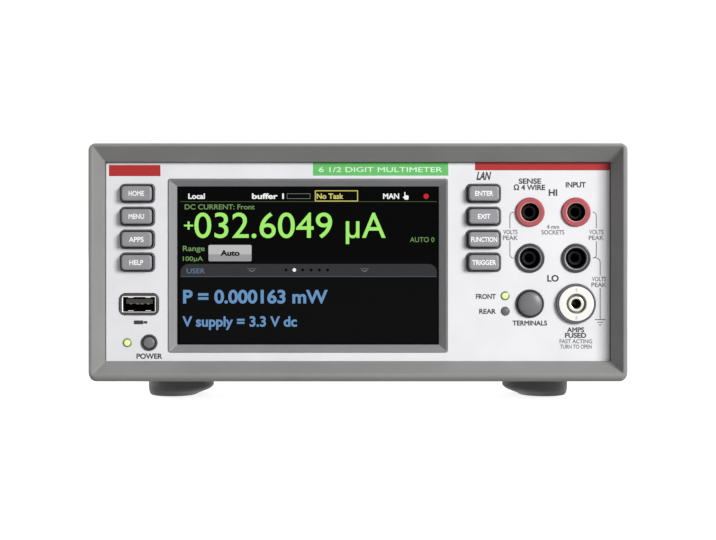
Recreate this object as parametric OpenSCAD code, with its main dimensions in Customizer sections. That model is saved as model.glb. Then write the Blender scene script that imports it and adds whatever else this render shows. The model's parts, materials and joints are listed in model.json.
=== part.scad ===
// Bench multimeter with a colour touch display, front and rear input terminals and a fused current jack.
// +Z is up, the front faces -Y, and the origin is on the table under the middle of the case.

/* [Case] */
// Width over the front and rear bumpers
bumper_w = 220.2; // [219:0.2:226]
// Height of the bumpers from their underside to their top
bumper_h = 97.5; // [96:0.5:100]
// Height of the bumpers' underside above the table
bumper_clearance = 10.1; // [9:0.1:11]
// Depth over both bumpers
depth = 376; // [360:2:400]
// Width of the sheet-metal case, half of a standard rack
case_w = 213; // [211:0.5:214]
// Height of the sheet-metal case, two rack units
case_h = 88; // [86:0.5:89]
// Thickness of the sheet metal
sheet_t = 1.2; // [1:0.1:1.5]
// Height of the feet under the case
foot_h = 14.5; // [14:0.1:15]
// Distance of the feet's centres from the middle
foot_x = 77.5; // [70:0.5:85]

/* [Front panel] */
// Distance from the bumper's rim back to the panel
panel_recess = 8.5; // [7.5:0.5:10]
// Thickness of the front panel
panel_t = 3; // [2.5:0.1:3]
// Width of the panel that shows inside the bumper
opening_w = 209; // [206:0.5:210]
// Lowest height of the panel that shows
opening_z0 = 17.9; // [17.5:0.1:19]
// Highest height of the panel that shows
opening_z1 = 100.2; // [99.5:0.1:100.6]

/* [Display] */
// Width of the display glass that shows
glass_w = 108.7; // [105:0.1:108.8]
// Height of the display glass that shows
glass_h = 65.7; // [62:0.1:66]
// Sideways place of the display's centre
display_x = -20.75; // [-20.8:0.05:-20]
// Height of the display's centre
display_z = 57.35; // [57:0.05:58]

/* [Keys] */
// Width of a key cap
key_w = 12.6; // [11:0.1:12.7]
// Height of a key cap
key_h = 6.3; // [5:0.1:6.4]
// Distance between the keys of a column
key_pitch = 9.48; // [9.4:0.01:10]
// Height of the top key
top_key_z = 87.2; // [86:0.1:88]
// Sideways place of the left column
left_key_x = -91.25; // [-91.5:0.05:-91.2]
// Sideways place of the right column
right_key_x = 51.9; // [51:0.1:52]
// How far a key cap stands out of the panel
key_proud = 3.4; // [2:0.1:3.6]

/* [Terminals] */
// Standard distance between the 4 mm jacks
jack_pitch = 19.05; // [19:0.05:19.1]
// Sideways place of the sense jacks
jack_x = 71.15; // [70:0.05:72]
// Height of the upper jacks
jack_z = 79.5; // [79:0.05:80]
// Radius of the hole for a plug
plug_r = 2; // [1.95:0.01:2.05]
// Sideways place of the fused current jack
amps_x = 90.15; // [90:0.05:90.3]
// Height of the fused current jack
amps_z = 41.65; // [41:0.05:42]

/* [Hidden] */
$fn = 64;
left_keys = ["key_home", "key_menu", "key_apps", "key_help"];
right_keys = ["key_enter", "key_exit", "key_function", "key_trigger"];

// Small gap between parts that are screwed or clipped together
gap = 0.1;
// Sliding clearance round a cap in its collar
slip = 0.3;

front_y = -depth / 2;
panel_y = front_y + panel_recess;
rear_y = depth / 2 - 12;
case_z0 = foot_h;
case_z1 = case_z0 + case_h;
case_z = (case_z0 + case_z1) / 2;
bumper_z = bumper_clearance + bumper_h / 2;
opening_z = (opening_z0 + opening_z1) / 2;
opening_h = opening_z1 - opening_z0;
sleeve_d = 21.5;
case_y0 = panel_y + 17.7;
case_y1 = rear_y - sheet_t - 0.2;
cover_in_w = case_w - 2 * sheet_t;
base_w = cover_in_w - 0.4;

// Depths behind the front panel's face
flange_back = -panel_t - 1.6;
board_face = -11.5;
board_t = 1.6;
switch_back = board_face + gap;

surround_w = glass_w + 6.8;
surround_h = glass_h + 5.9;
glass_depth = -2.2;
collar_w = key_w + 1.7;
collar_h = key_h + 1.5;
usb_x = -90.6;
usb_z = 41.4;
power_x = -86.4;
power_light_x = -95.4;
power_z = 25.5;
terminals_x = 71.1;
terminals_z = 41.6;
lamp_x = 60.9;
front_lamp_z = 44.9;
rear_lamp_z = 38.5;
lamp_r = 1.75;
input_x = jack_x + jack_pitch;
low_jack_z = jack_z - jack_pitch;
jack_ring_r = 5.95;
fuse_front = -24.4;
fuse_l = 20;
carrier_r = 7.25;
carrier_back = -29.5;

front_foot_y = front_y + 45;
rear_foot_y = rear_y - sleeve_d - 16;
board_z = case_z0 + 7;

inlet_x = -85;
inlet_z = 46.5;
inlet_w = 28;
inlet_h = 48;
socket_z = 36.5;
socket_floor = -16;
drawer_z = 59;
port_z = 31.5;
network_x = -12;
device_x = -38;
slot_x = -5;
slot_z = 76.5;
panel_screws = [[-100, 92.5], [100, 92.5], [100, 22.5], [-60, 22.5]];
slot_screws = [[slot_x - 51, slot_z], [slot_x + 51, slot_z]];

// ---------- helpers ----------

// A rectangle with round corners, centred
module round_rect(w, h, r) {
    square([w - 2 * r, h], center = true);
    square([w, h - 2 * r], center = true);
    for (sx = [-1, 1], sz = [-1, 1])
        translate([sx * (w / 2 - r), sz * (h / 2 - r)]) circle(r);
}

// Stands the children on the front panel: X, height, and distance out of the panel
module on_front(x = 0, z = 0) {
    translate([x, panel_y, z]) rotate([90, 0, 0]) children();
}

// The same on the rear panel, facing +Y
module on_rear(x = 0, z = 0) {
    translate([x, rear_y, z]) mirror([0, 1, 0]) rotate([90, 0, 0]) children();
}

// Thickens an outline between two distances from the panel's face
module layer(from, to) {
    translate([0, 0, from]) linear_extrude(to - from) children();
}

// Thickens an outline drawn in X and height between two depths
module span(y0, y1) {
    translate([0, y1, 0]) rotate([90, 0, 0]) linear_extrude(y1 - y0) children();
}

// A four-sided funnel between two rectangles [x0, x1, z0, z1], with mitred corners
module funnel(inner, outer, p0, p1) {
    intersection() {
        translate([0, outer[3], 0]) rotate([90, 0, 0]) linear_extrude(outer[3] - outer[2])
            polygon([[inner[0], p0], [inner[1], p0], [outer[1], p1], [outer[0], p1]]);
        translate([outer[0], 0, 0]) rotate([90, 0, 90]) linear_extrude(outer[1] - outer[0])
            polygon([[inner[2], p0], [inner[3], p0], [outer[3], p1], [outer[2], p1]]);
    }
}

// An upright slot with round ends
module slot(w, h) {
    square([w, h - w], center = true);
    for (s = [-1, 1]) translate([0, s * (h - w) / 2]) circle(w / 2);
}

function key_z(row) = top_key_z - row * key_pitch;
jack_places = [for (x = [jack_x, input_x], z = [jack_z, low_jack_z]) [x, z]];

// ---------- bumpers ----------

// The moulded frame that grips the case's end; rim is how far it reaches past the panel
module bumper(rim, edge, rim_bands) {
    inner = [-opening_w / 2, opening_w / 2, opening_z0, opening_z1];
    outer = [
        -bumper_w / 2 + rim_bands[0], bumper_w / 2 - rim_bands[0],
        bumper_clearance + rim_bands[1], bumper_clearance + bumper_h - rim_bands[2]
    ];
    difference() {
        layer(-sleeve_d, rim) translate([0, bumper_z]) round_rect(bumper_w, bumper_h, 3);
        layer(-sleeve_d - 1, gap) translate([0, case_z]) round_rect(case_w + 0.8, case_h + 0.8, 2);
        layer(0, edge + 0.01) translate([0, opening_z]) round_rect(opening_w, opening_h, 0.8);
        funnel(inner, outer, edge, rim);
        layer(rim - 0.01, rim + 1) translate([outer[0], outer[2]])
            square([outer[1] - outer[0], outer[3] - outer[2]]);
    }
}

module front_bezel() {
    color("dimgray") on_front() bumper(panel_recess, 2, [1.8, 3.4, 1.2]);
}

module rear_bumper() {
    color("dimgray") on_rear() bumper(depth / 2 - rear_y, 6, [1.8, 3.4, 1.2]);
}

// ---------- front panel and display ----------

module panel_holes() {
    translate([display_x, display_z]) round_rect(surround_w + 0.4, surround_h + 0.4, 1);
    for (x = [left_key_x, right_key_x], row = [0:3])
        translate([x, key_z(row)]) round_rect(collar_w + 0.4, collar_h + 0.4, 2.1);
    translate([usb_x, usb_z]) round_rect(16.6, 9.3, 2.7);
    translate([power_x, power_z]) circle(3.45);
    translate([terminals_x, terminals_z]) circle(5.95);
    for (lamp = [[power_light_x, power_z], [lamp_x, front_lamp_z], [lamp_x, rear_lamp_z]])
        translate(lamp) circle(lamp_r + 0.15);
    for (place = jack_places) translate(place) circle(jack_ring_r + 0.15);
    translate([amps_x, amps_z]) circle(8.35);
}

module front_panel() {
    w = case_w - 0.4;
    h = case_h - 0.4;
    color("gainsboro") on_front() difference() {
        translate([0, case_z]) union() {
            layer(-panel_t, 0) round_rect(w, h, 2);
            layer(-17.5, -panel_t) difference() {
                round_rect(w, h, 2);
                round_rect(w - 4, h - 4, 1);
            }
        }
        layer(-panel_t - 1, 1) panel_holes();
    }
}

module display_surround() {
    inner = [-glass_w / 2, glass_w / 2, -glass_h / 2, glass_h / 2];
    wide = [inner[0] - 2.9, inner[1] + 2.9, inner[2] - 2.5, inner[3] + 2.5];
    color("gray") on_front(display_x, display_z) difference() {
        union() {
            layer(-panel_t - gap, 0.4) round_rect(surround_w, surround_h, 0.8);
            layer(flange_back, -panel_t - gap) round_rect(surround_w + 4, surround_h + 4, 1);
        }
        layer(flange_back - 1, glass_depth + gap) square([glass_w + 4.3, glass_h + 4.2], center = true);
        layer(glass_depth, glass_depth + 0.2) square([glass_w, glass_h], center = true);
        funnel(inner, wide, glass_depth + 0.15, 0.41);
    }
}

module touch_glass() {
    color("black") on_front(display_x, display_z)
        layer(glass_depth - 1.3, glass_depth) round_rect(glass_w + 3.8, glass_h + 3.7, 0.8);
}

module lcd_module() {
    color("silver") on_front(display_x, display_z)
        layer(glass_depth - 5.8, glass_depth - 1.4) square([glass_w + 3.6, glass_h + 3.5], center = true);
}

module front_board() {
    left = -case_w / 2 + 5;
    low = case_z0 + 4;
    color("darkgreen") on_front() difference() {
        layer(board_face - board_t, board_face) difference() {
            translate([left, low]) square([79 - left, case_h - 8]);
            translate([58.5, 52]) square([30, 50]);
        }
        layer(board_face - 3, board_face + 1) translate([terminals_x, terminals_z]) square(7, center = true);
    }
}

// ---------- keys ----------

module key_frame(x) {
    color("darkslategray") on_front(x, (key_z(0) + key_z(3)) / 2) difference() {
        union() {
            layer(flange_back, -panel_t - gap) round_rect(collar_w + 4, 3 * key_pitch + collar_h + 4, 2);
            layer(-panel_t - gap, 0.8) for (row = [-1.5:1.5])
                translate([0, row * key_pitch]) round_rect(collar_w, collar_h, 1.9);
        }
        layer(flange_back - 1, 2) for (row = [-1.5:1.5])
            translate([0, row * key_pitch]) round_rect(key_w + 2 * slip, key_h + 2 * slip, 1.6);
    }
}

module left_key_frame() {
    key_frame(left_key_x);
}

module right_key_frame() {
    key_frame(right_key_x);
}

module key(x, row) {
    back = flange_back - slip;
    color("darkgray") on_front(x, key_z(row)) {
        layer(back, key_proud - 0.4) round_rect(key_w, key_h, 1.4);
        layer(key_proud - 0.4, key_proud) round_rect(key_w - 0.6, key_h - 0.6, 1.1);
        layer(back - 0.8, back) round_rect(key_w + 2.4, key_h + 2.4, 1);
        layer(back - 3.2, back - 0.8) square(3, center = true);
    }
}

module key_switches() {
    color("black") for (x = [left_key_x, right_key_x], row = [0:3]) on_front(x, key_z(row))
        layer(switch_back, board_face + 2) square(6, center = true);
}

// ---------- USB socket ----------

module usb_surround() {
    color("black") on_front(usb_x, usb_z) difference() {
        union() {
            layer(-panel_t - gap, 0.6) round_rect(16.2, 8.9, 2.5);
            layer(flange_back, -panel_t - gap) round_rect(20, 12.5, 2.5);
        }
        layer(flange_back - 1, 1) round_rect(14.3, 7.1, 0.8);
    }
}

module usb_shell() {
    color("silver") on_front(usb_x, usb_z) difference() {
        layer(switch_back, 0.2) round_rect(14, 6.8, 0.6);
        layer(switch_back + 0.5, 1) round_rect(13.2, 6, 0.3);
    }
}

module usb_tongue() {
    color("black") on_front(usb_x, usb_z)
        layer(switch_back + 0.6, -1.2) translate([0, 1.1]) square([11.2, 2], center = true);
}

// ---------- round buttons and lights ----------

module collar(inner_r, outer_r, proud) {
    difference() {
        union() {
            layer(-panel_t - gap, proud) circle(outer_r);
            layer(flange_back, -panel_t - gap) circle(outer_r + 1.5);
        }
        layer(flange_back - 1, proud + 1) circle(inner_r);
    }
}

// A round cap with a rim behind its collar and a stem towards the switch
module round_button(r, proud, stem_r, stem_l) {
    back = flange_back - slip;
    layer(back, proud - 0.4) circle(r);
    layer(proud - 0.4, proud) circle(r - 0.35);
    layer(back - 1, back) circle(r + 1);
    layer(back - 1 - stem_l, back - 1) circle(stem_r);
}

module power_collar() {
    color("black") on_front(power_x, power_z) collar(2.4 + slip, 3.3, 0.6);
}

module power_button() {
    color("gray") on_front(power_x, power_z) round_button(2.4, 1.4, 1.2, 1);
}

module power_switch() {
    color("black") on_front(power_x, power_z) layer(switch_back, board_face + 2) square(6, center = true);
}

module terminals_collar() {
    color("black") on_front(terminals_x, terminals_z) collar(5 + slip, 5.8, 0.8);
}

module terminals_button() {
    color("gray") on_front(terminals_x, terminals_z) round_button(5, 3, 2, 3);
}

module terminals_switch() {
    color("black") on_front(terminals_x, terminals_z)
        layer(board_face - board_t - 12, board_face - board_t - gap) square(12, center = true);
}

module light(x, z) {
    on_front(x, z) {
        layer(switch_back, 0) circle(lamp_r);
        intersection() {
            translate([0, 0, -2]) sphere(sqrt(4 + lamp_r * lamp_r));
            layer(0, 1) circle(lamp_r);
        }
    }
}

module power_light() {
    color("yellowgreen") light(power_light_x, power_z);
}

module front_light() {
    color("yellowgreen") light(lamp_x, front_lamp_z);
}

module rear_light() {
    color("gray") light(lamp_x, rear_lamp_z);
}

// ---------- 4 mm jacks ----------

// The insulated shell of a jack in a panel t thick
module jack_shell(t) {
    rotate_extrude() polygon([
        [4.95, 1], [5.65, 1], [jack_ring_r, 0.7], [jack_ring_r, -t - gap], [7.5, -t - gap], [7.5, -t - 1.6],
        [5.9, -t - 1.6], [5.9, -28], [1.8, -28], [1.8, -26.2], [4.95, -26.2]
    ]);
}

module jack_liner() {
    rotate_extrude() polygon([[4.05, 0.6], [4.85, 0.6], [4.85, -26.1], [4.05, -26.1]]);
}

module jack_contact() {
    rotate_extrude() polygon([
        [plug_r, -3.5], [2.9, -3.5], [2.9, -26.1], [1.7, -26.1], [1.7, -33],
        [0, -33], [0, -25], [plug_r, -25]
    ]);
}

module sense_hi_jack() {
    color("firebrick") on_front(jack_x, jack_z) jack_shell(panel_t);
}

module sense_lo_jack() {
    color("black") on_front(jack_x, low_jack_z) jack_shell(panel_t);
}

module input_hi_jack() {
    color("firebrick") on_front(input_x, jack_z) jack_shell(panel_t);
}

module input_lo_jack() {
    color("black") on_front(input_x, low_jack_z) jack_shell(panel_t);
}

module rear_red_jacks() {
    color("firebrick") for (x = [jack_x, input_x]) on_rear(x, jack_z) jack_shell(sheet_t);
}

module rear_black_jacks() {
    color("black") for (x = [jack_x, input_x]) on_rear(x, low_jack_z) jack_shell(sheet_t);
}

module jack_liners() {
    color("lightgray") for (place = jack_places) {
        on_front(place[0], place[1]) jack_liner();
        on_rear(place[0], place[1]) jack_liner();
    }
}

module jack_contacts() {
    color("silver") for (place = jack_places) {
        on_front(place[0], place[1]) jack_contact();
        on_rear(place[0], place[1]) jack_contact();
    }
}

// ---------- fused current jack ----------

module amps_holder() {
    wide = carrier_r + 0.25;
    narrow = carrier_r - 0.3;
    color("dimgray") on_front(amps_x, amps_z) rotate_extrude() polygon([
        [wide, 1.5], [8.17, 1.5], [8.17, -panel_t - gap], [10, -panel_t - gap], [10, flange_back],
        [8, flange_back], [8, -52], [0, -52], [0, -50.5], [narrow, -50.5], [narrow, -1.8], [wide, -1.8]
    ]);
}

module amps_carrier() {
    stem_r = carrier_r - 0.6;
    color("whitesmoke") on_front(amps_x, amps_z) rotate_extrude() polygon([
        [4.15, 1.8], [carrier_r - 0.4, 1.8], [carrier_r, 1.4], [carrier_r, -1.2], [stem_r, -1.2], [stem_r, carrier_back],
        [2.9, carrier_back], [2.9, fuse_front + 0.2], [0, fuse_front + 0.2], [0, -22.6], [3.3, -22.6],
        [3.3, -3], [4.15, -3]
    ]);
}

module amps_contact() {
    color("silver") on_front(amps_x, amps_z) rotate_extrude() polygon([
        [plug_r, 1.3], [2.9, 1.3], [3.2, 1], [3.2, -22.5], [0, -22.5], [0, -20.5], [plug_r, -20.5]
    ]);
}

module amps_fuse() {
    color("silver") on_front(amps_x, amps_z) layer(fuse_front - fuse_l, fuse_front) circle(2.6);
}

// ---------- sheet-metal case ----------

module foot_places() {
    for (x = [-foot_x, foot_x], y = [front_foot_y, rear_foot_y]) translate([x, y, 0]) children();
}

module side_screw_places() {
    for (side = [-1, 1], y = [-140, 140]) translate([side * case_w / 2, y, case_z0 + 7])
        rotate([0, side * 90, 0]) children();
}

module chassis_base() {
    wall_x = base_w / 2;
    color("lightgray") difference() {
        union() {
            translate([-wall_x, case_y0, case_z0]) cube([base_w, case_y1 - case_y0, sheet_t]);
            for (side = [-1, 1]) translate([side * (wall_x - sheet_t / 2), (case_y0 + case_y1) / 2, case_z0 + 7])
                cube([sheet_t, case_y1 - case_y0, 14], center = true);
            span(case_y0, case_y0 + sheet_t) difference() {
                translate([0, case_z - 0.8]) square([base_w, case_h - 1.6], center = true);
                translate([display_x, display_z]) square([100, 56], center = true);
                translate([59, 29.5]) square([41, 60]);
                translate([-98, 41.5]) square([14, 46]);
            }
            translate([-wall_x, case_y1 - sheet_t, case_z0]) cube([base_w, sheet_t, 5]);
            for (x = [-90, 90], y = [-140, -40, 60]) translate([x, y, case_z0]) cylinder(h = 6.9, r = 3);
        }
        foot_places() translate([0, 0, case_z0 - 1]) cylinder(h = 4, r = 2.2);
        side_screw_places() translate([0, 0, -5]) cylinder(h = 10, r = 1.7);
    }
}

module top_cover() {
    color("lightgray") difference() {
        span(case_y0 + 1.4, case_y1) translate([0, case_z]) difference() {
            round_rect(case_w, case_h, 1.8);
            translate([0, -sheet_t / 2 - 0.5]) round_rect(cover_in_w, case_h - sheet_t + 1, 0.8);
            translate([0, -case_h / 2 + 1]) square([cover_in_w, 4], center = true);
        }
        side_screw_places() translate([0, 0, -5]) cylinder(h = 10, r = 1.7);
        for (start = [-128, 58], i = [0:9], z = [47.5, 77.5]) translate([-case_w, start + 7.5 * i, z])
            rotate([90, 0, 90]) linear_extrude(2 * case_w) slot(3, 20);
    }
}

module rear_holes() {
    translate([inlet_x, inlet_z]) square([inlet_w - 3, inlet_h - 3], center = true);
    for (place = jack_places) translate(place) circle(jack_ring_r + 0.15);
    translate([network_x, port_z]) square([16.4, 13.8], center = true);
    translate([device_x, port_z]) square([12.4, 11.2], center = true);
    translate([slot_x, slot_z]) square([94, 22], center = true);
    for (i = [0:12]) translate([-47 + 7 * i, 49.5]) slot(3, 13);
    for (place = panel_screws) translate(place) circle(1.7);
}

module rear_panel() {
    color("silver") span(rear_y - sheet_t, rear_y) difference() {
        translate([0, case_z]) round_rect(case_w - 0.4, case_h - 0.4, 1.6);
        rear_holes();
        for (place = slot_screws) translate(place) circle(1.7);
    }
}

module card_slot_cover() {
    color("lightgray") on_rear(slot_x, slot_z) layer(gap, gap + sheet_t) difference() {
        round_rect(110, 29, 1);
        for (x = [-51, 51]) translate([x, 0]) circle(1.7);
    }
}

// A cross-head screw with its head's underside at the origin
module screw(head_r, head_h, shank_r, shank_l) {
    difference() {
        union() {
            cylinder(h = head_h, r1 = head_r, r2 = head_r - 0.6);
            translate([0, 0, -shank_l]) cylinder(h = shank_l, r = shank_r);
        }
        for (turn = [0, 90]) rotate(turn) translate([0, 0, head_h])
            cube([head_r * 1.1, 0.8, 1.6], center = true);
    }
}

module cover_screws() {
    color("silver") {
        side_screw_places() translate([0, 0, gap]) screw(3.2, 1.7, 1.5, 5);
        for (place = panel_screws) on_rear(place[0], place[1]) translate([0, 0, gap]) screw(3, 1.7, 1.5, 6);
        for (place = slot_screws) on_rear(place[0], place[1])
            translate([0, 0, sheet_t + 2 * gap]) screw(3, 1.7, 1.5, 6);
    }
}

// ---------- feet ----------

// A round rubber foot whose outer flank is steep and inner flank tapers; out is +1 or -1
module foot(out) {
    color("dimgray") difference() {
        hull() {
            translate([0, 0, 4]) cylinder(h = foot_h - 4.1, r = 14.2, $fn = 40);
            translate([out * 2.1, 0, 1]) cylinder(h = 1, r = 11.9, $fn = 40);
            translate([out * 2.2, 0, 0]) cylinder(h = 1, r = 11, $fn = 40);
        }
        translate([0, 0, -1]) cylinder(h = 8, r = 4.6);
        cylinder(h = foot_h + 1, r = 2.2);
    }
}

module front_left_foot() {
    translate([-foot_x, front_foot_y, 0]) foot(-1);
}

module front_right_foot() {
    translate([foot_x, front_foot_y, 0]) foot(1);
}

module rear_left_foot() {
    translate([-foot_x, rear_foot_y, 0]) foot(-1);
}

module rear_right_foot() {
    translate([foot_x, rear_foot_y, 0]) foot(1);
}

module foot_screws() {
    color("silver") foot_places() translate([0, 0, 6.9]) rotate([180, 0, 0]) screw(4, 2.5, 2, 12.5);
}

// ---------- inside ----------

module main_board() {
    color("darkgreen") translate([-100, -150, board_z]) cube([200, 220, 1.6]);
}

module power_transformer() {
    color("dimgray") translate([-72, 106, case_z0 + sheet_t + gap]) union() {
        translate([-29, -12, 0]) cube([58, 24, 50]);
        translate([-18, -22, 8]) cube([36, 44, 34]);
    }
}

module analog_shield() {
    color("silver") translate([48, -40, board_z + 1.7]) difference() {
        translate([-42, -55, 0]) cube([84, 110, 42]);
        translate([-41.2, -54.2, -1]) cube([82.4, 108.4, 42.2]);
    }
}

// ---------- rear connectors ----------

// Mains inlet with a blade socket below and a pocket for the fuse drawer above
module power_inlet() {
    color("black") on_rear(inlet_x) difference() {
        union() {
            layer(gap, 3) translate([0, inlet_z]) round_rect(inlet_w, inlet_h, 2);
            layer(-32, gap) translate([0, inlet_z]) square([inlet_w - 3.6, inlet_h - 3.6], center = true);
        }
        layer(socket_floor, 4) translate([0, socket_z]) round_rect(22.6, 16.6, 2.4);
        layer(-33, socket_floor + 1) blade_places() square([2.2, 4.2], center = true);
        layer(-26, 4) translate([0, drawer_z]) square([22, 11], center = true);
    }
}

module blade_places() {
    for (place = [[-7, -2], [7, -2], [0, 2]]) translate([place[0], socket_z + place[1]]) children();
}

module inlet_pins() {
    color("silver") on_rear(inlet_x) layer(-38, 0.5) blade_places() square([2, 4], center = true);
}

module line_fuse_drawer() {
    color("black") on_rear(inlet_x, drawer_z) difference() {
        union() {
            layer(-25.5, 3.1) square([21.4, 10.4], center = true);
            layer(3.1, 4.6) round_rect(23.6, 11.6, 0.8);
        }
        for (x = [-5, 5]) layer(-24, -3) translate([x, 2]) square([6.4, 8], center = true);
        layer(3.6, 5) translate([0, 3.4]) square([10, 1.6], center = true);
    }
}

module network_port() {
    color("silver") on_rear(network_x, port_z) difference() {
        layer(-18, 0.8) square([16, 13.4], center = true);
        layer(-13, 1) translate([0, 0.8]) square([11.9, 8.4], center = true);
        layer(-13, 1) translate([0, -4.2]) square([6, 2], center = true);
    }
}

module usb_device_port() {
    color("silver") on_rear(device_x, port_z) {
        difference() {
            layer(-16, 0.8) square([12, 10.8], center = true);
            layer(-11, 1) square([8.6, 7.8], center = true);
        }
        layer(-11.1, -1.5) square([5.6, 3], center = true);
    }
}

key(left_key_x, 0);  // key_home
key(left_key_x, 1);  // key_menu
key(left_key_x, 2);  // key_apps
key(left_key_x, 3);  // key_help
key(right_key_x, 0);  // key_enter
key(right_key_x, 1);  // key_exit
key(right_key_x, 2);  // key_function
key(right_key_x, 3);  // key_trigger
front_bezel();
front_panel();
display_surround();
touch_glass();
lcd_module();
left_key_frame();
right_key_frame();
key_switches();
usb_surround();
usb_shell();
usb_tongue();
power_collar();
power_button();
power_switch();
power_light();
terminals_collar();
terminals_button();
terminals_switch();
front_light();
rear_light();
sense_hi_jack();
sense_lo_jack();
input_hi_jack();
input_lo_jack();
jack_liners();
jack_contacts();
amps_holder();
amps_carrier();
amps_contact();
amps_fuse();
front_board();
chassis_base();
top_cover();
rear_panel();
rear_bumper();
cover_screws();
front_left_foot();
front_right_foot();
rear_left_foot();
rear_right_foot();
foot_screws();
main_board();
power_transformer();
analog_shield();
power_inlet();
inlet_pins();
line_fuse_drawer();
rear_red_jacks();
rear_black_jacks();
network_port();
usb_device_port();
card_slot_cover();
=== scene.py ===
"""Looks of the bench multimeter: materials, rounded mouldings, legends, screen, light and camera."""
import json
import math

import bmesh
import bpy
import numpy as np
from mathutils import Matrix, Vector


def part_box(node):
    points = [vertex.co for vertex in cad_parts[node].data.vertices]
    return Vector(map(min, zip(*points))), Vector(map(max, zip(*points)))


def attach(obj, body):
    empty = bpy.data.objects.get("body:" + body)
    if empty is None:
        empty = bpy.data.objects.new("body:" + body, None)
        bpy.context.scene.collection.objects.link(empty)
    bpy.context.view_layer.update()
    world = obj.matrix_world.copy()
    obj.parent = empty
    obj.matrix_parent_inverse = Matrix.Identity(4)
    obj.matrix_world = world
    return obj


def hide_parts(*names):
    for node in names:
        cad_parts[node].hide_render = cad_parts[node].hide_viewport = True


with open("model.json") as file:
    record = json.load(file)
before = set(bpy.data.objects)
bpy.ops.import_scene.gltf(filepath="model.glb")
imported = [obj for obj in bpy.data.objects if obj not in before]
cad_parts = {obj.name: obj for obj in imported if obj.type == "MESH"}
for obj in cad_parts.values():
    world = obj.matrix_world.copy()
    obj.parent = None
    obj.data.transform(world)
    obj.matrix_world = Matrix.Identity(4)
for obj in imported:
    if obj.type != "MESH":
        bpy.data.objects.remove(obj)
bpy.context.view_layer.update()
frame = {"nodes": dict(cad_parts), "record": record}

MM = 0.001


def box(node):
    """A CAD node's lowest and highest corner, in millimetres."""
    low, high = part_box(node)
    return Vector(low) / MM, Vector(high) / MM


def middle(node):
    """X and height of the middle of a CAD node."""
    low, high = box(node)
    return (low.x + high.x) / 2, (low.z + high.z) / 2


class Side:
    """A face of the case. Shapes on it are drawn in X, height, and distance out of the face."""

    def __init__(self, face, out):
        self.face, self.out = face, out

    def at(self, x, z, proud):
        return Vector((x, self.face + self.out * proud, z)) * MM

    def proud(self, y):
        return (y - self.face) * self.out

    def reach(self, node):
        """How far out a CAD node's back and front lie."""
        return sorted(self.proud(corner.y) for corner in box(node))


FRONT = Side(box("front_panel")[0].y, -1)
REAR = Side(box("rear_panel")[1].y, 1)
JACKS = {name: middle(name + "_jack") for name in ("sense_hi", "sense_lo", "input_hi", "input_lo")}


# --- materials ---

def socket(node, name, value):
    node.inputs[name].default_value = value


class Finish:
    """A Principled material with a few ready-made layers of surface detail."""

    def __init__(self, name, colour, rough, metal=0.0, level=0.5, coat=0.0):
        self.name = name
        self.material = bpy.data.materials.new(name)
        self.material.use_nodes = True
        self.tree = self.material.node_tree
        self.shader = self.tree.nodes["Principled BSDF"]
        self.colour, self.rough = (*colour, 1.0), rough
        for label, value in (
            ("Base Color", self.colour), ("Roughness", rough), ("Metallic", metal),
            ("Specular IOR Level", level), ("Coat Weight", coat), ("Coat Roughness", 0.1),
        ):
            socket(self.shader, label, value)
        self.place = self.add("ShaderNodeTexCoord").outputs["Object"]
        self.normal = None

    def add(self, kind, **settings):
        node = self.tree.nodes.new(kind)
        for key, value in settings.items():
            setattr(node, key, value)
        return node

    def link(self, a, b):
        self.tree.links.new(a, b)

    def noise(self, size, detail, stretch=None):
        """Noise whose blobs are about size millimetres, squeezed along each axis by stretch."""
        node = self.add("ShaderNodeTexNoise")
        socket(node, "Scale", 1 / (size * MM))
        socket(node, "Detail", detail)
        place = self.place
        if stretch:
            mapping = self.add("ShaderNodeMapping")
            socket(mapping, "Scale", stretch)
            self.link(place, mapping.inputs["Vector"])
            place = mapping.outputs["Vector"]
        self.link(place, node.inputs["Vector"])
        return node.outputs["Fac"]

    def ranged(self, value, low, high, from_low=0.3, from_high=0.7):
        node = self.add("ShaderNodeMapRange")
        self.link(value, node.inputs["Value"])
        socket(node, "From Min", from_low)
        socket(node, "From Max", from_high)
        socket(node, "To Min", low)
        socket(node, "To Max", high)
        return node.outputs["Result"]

    def blend(self, value, low, high):
        """Colours the surface from low to high as a value goes from 0 to 1."""
        node = self.add("ShaderNodeMix", data_type="RGBA")
        node.inputs[6].default_value, node.inputs[7].default_value = low, high
        self.link(value, node.inputs["Factor"])
        self.link(node.outputs[2], self.shader.inputs["Base Color"])

    def tint(self, value, amount):
        """Varies the colour's brightness by amount, up and down."""
        dark = [c * (1 - amount) for c in self.colour[:3]] + [1]
        pale = [min(1, c * (1 + amount)) for c in self.colour[:3]] + [1]
        self.blend(self.ranged(value, 0, 1), dark, pale)

    def polish(self, value, amount):
        """Varies the roughness by amount."""
        out = self.ranged(value, max(0.02, self.rough - amount), min(1, self.rough + amount))
        self.link(out, self.shader.inputs["Roughness"])

    def bump(self, value, height, strength):
        """Adds relief of about height millimetres."""
        node = self.add("ShaderNodeBump")
        socket(node, "Strength", strength)
        socket(node, "Distance", height * MM)
        self.link(value, node.inputs["Height"])
        if self.normal:
            self.link(self.normal, node.inputs["Normal"])
        self.normal = node.outputs["Normal"]
        self.link(self.normal, self.shader.inputs["Normal"])
        return self

    def glow(self, colour, strength):
        socket(self.shader, "Emission Color", (*colour, 1.0))
        socket(self.shader, "Emission Strength", strength)
        return self


def moulded(name, colour, rough, grain=0.35, relief=0.012, **kw):
    """Moulded plastic or rubber: fine grain, faint cloudiness and uneven gloss."""
    f = Finish(name, colour, rough, **kw)
    f.tint(f.noise(18, 4), 0.035)
    f.polish(f.noise(6, 3), 0.05)
    return f.bump(f.noise(grain, 2), relief, 0.5)


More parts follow.
